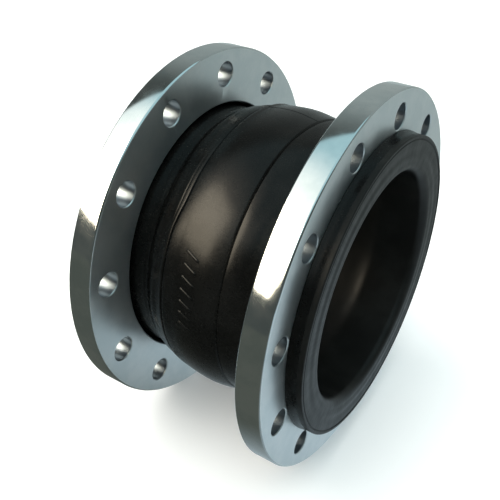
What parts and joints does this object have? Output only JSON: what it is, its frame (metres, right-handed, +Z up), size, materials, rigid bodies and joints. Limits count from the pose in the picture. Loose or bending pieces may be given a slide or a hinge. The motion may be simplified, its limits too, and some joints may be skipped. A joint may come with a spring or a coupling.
{
  "type": "rubber expansion joint",
  "caption": "Single-arch moulded rubber expansion joint with cord plies, wire beads and floating drilled steel flanges that swivel on its raised sealing faces.",
  "frame": {"origin": "middle of the joint on the pipe axis, halfway between the two sealing faces", "axes": "+X along the pipe axis towards end B, +Z up, +Y across the pipe"},
  "size_m": [0.21, 0.34, 0.34],
  "materials": {
    "zinc_steel": "turned steel plate with a bright blue-white zinc coating, semi-gloss",
    "cover_rubber": "moulded black synthetic rubber, satin",
    "liner_rubber": "moulded black synthetic rubber, smooth satin",
    "cord_fabric": "nylon tyre cord laid on the bias, rubberised",
    "bead_wire": "hoop of bronze-coated steel wire",
    "wrap_fabric": "rubberised square-woven chafer fabric",
    "filler_rubber": "hard black filler rubber"
  },
  "bodies": {
    "end_a": {"liner_end_a": "liner_rubber", "inner_ply_end_a": "cord_fabric", "outer_ply_end_a": "cord_fabric", "cover_end_a": "cover_rubber", "bead_core_a": "bead_wire", "bead_wrap_a": "wrap_fabric", "bead_filler_a": "filler_rubber"},
    "shoulder_a": {"liner_shoulder_a": "liner_rubber", "inner_ply_shoulder_a": "cord_fabric", "outer_ply_shoulder_a": "cord_fabric", "cover_shoulder_a": "cover_rubber"},
    "crown_a": {"liner_crown_a": "liner_rubber", "inner_ply_crown_a": "cord_fabric", "outer_ply_crown_a": "cord_fabric", "cover_crown_a": "cover_rubber"},
    "crown_b": {"liner_crown_b": "liner_rubber", "inner_ply_crown_b": "cord_fabric", "outer_ply_crown_b": "cord_fabric", "cover_crown_b": "cover_rubber"},
    "shoulder_b": {"liner_shoulder_b": "liner_rubber", "inner_ply_shoulder_b": "cord_fabric", "outer_ply_shoulder_b": "cord_fabric", "cover_shoulder_b": "cover_rubber"},
    "end_b": {"liner_end_b": "liner_rubber", "inner_ply_end_b": "cord_fabric", "outer_ply_end_b": "cord_fabric", "cover_end_b": "cover_rubber", "bead_core_b": "bead_wire", "bead_wrap_b": "wrap_fabric", "bead_filler_b": "filler_rubber"},
    "flange_a": {"flange_a": "zinc_steel"},
    "flange_b": {"flange_b": "zinc_steel"}
  },
  "joints": [
    {"name": "axial_a", "type": "slide", "parent": "end_a", "child": "shoulder_a", "axis": [1, 0, 0], "range_m": [-0.0125, 0.008], "stiffness_N_per_m": 220000, "deforming": ["liner_shoulder_a", "inner_ply_shoulder_a", "outer_ply_shoulder_a", "cover_shoulder_a"]},
    {"name": "angular_a", "type": "hinge", "parent": "shoulder_a", "child": "crown_a", "pos_m": [-0.031, 0, 0], "axis": [0, 1, 0], "range_deg": [-7.5, 7.5], "stiffness_Nm_per_rad": 1700, "deforming": ["liner_crown_a", "inner_ply_crown_a", "outer_ply_crown_a", "cover_crown_a"]},
    {"name": "lateral", "type": "slide", "parent": "crown_a", "child": "crown_b", "axis": [0, 0, 1], "range_m": [-0.022, 0.022], "stiffness_N_per_m": 140000, "deforming": ["liner_crown_b", "inner_ply_crown_b", "outer_ply_crown_b", "cover_crown_b"]},
    {"name": "angular_b", "type": "hinge", "parent": "crown_b", "child": "shoulder_b", "pos_m": [0.031, 0, 0], "axis": [0, 1, 0], "range_deg": [-7.5, 7.5], "stiffness_Nm_per_rad": 1700, "deforming": ["liner_shoulder_b", "inner_ply_shoulder_b", "outer_ply_shoulder_b", "cover_shoulder_b"]},
    {"name": "axial_b", "type": "slide", "parent": "shoulder_b", "child": "end_b", "axis": [1, 0, 0], "range_m": [-0.0125, 0.008], "stiffness_N_per_m": 220000},
    {"name": "flange_a_swivel", "type": "hinge", "parent": "end_a", "child": "flange_a", "pos_m": [-0.08, 0, 0], "axis": [1, 0, 0], "continuous": true},
    {"name": "flange_b_swivel", "type": "hinge", "parent": "end_b", "child": "flange_b", "pos_m": [0.08, 0, 0], "axis": [1, 0, 0], "continuous": true}
  ],
  "couplings": [
    {"joint": "axial_b", "follows": "axial_a", "ratio": 1},
    {"joint": "angular_b", "follows": "angular_a", "ratio": 1}
  ]
}
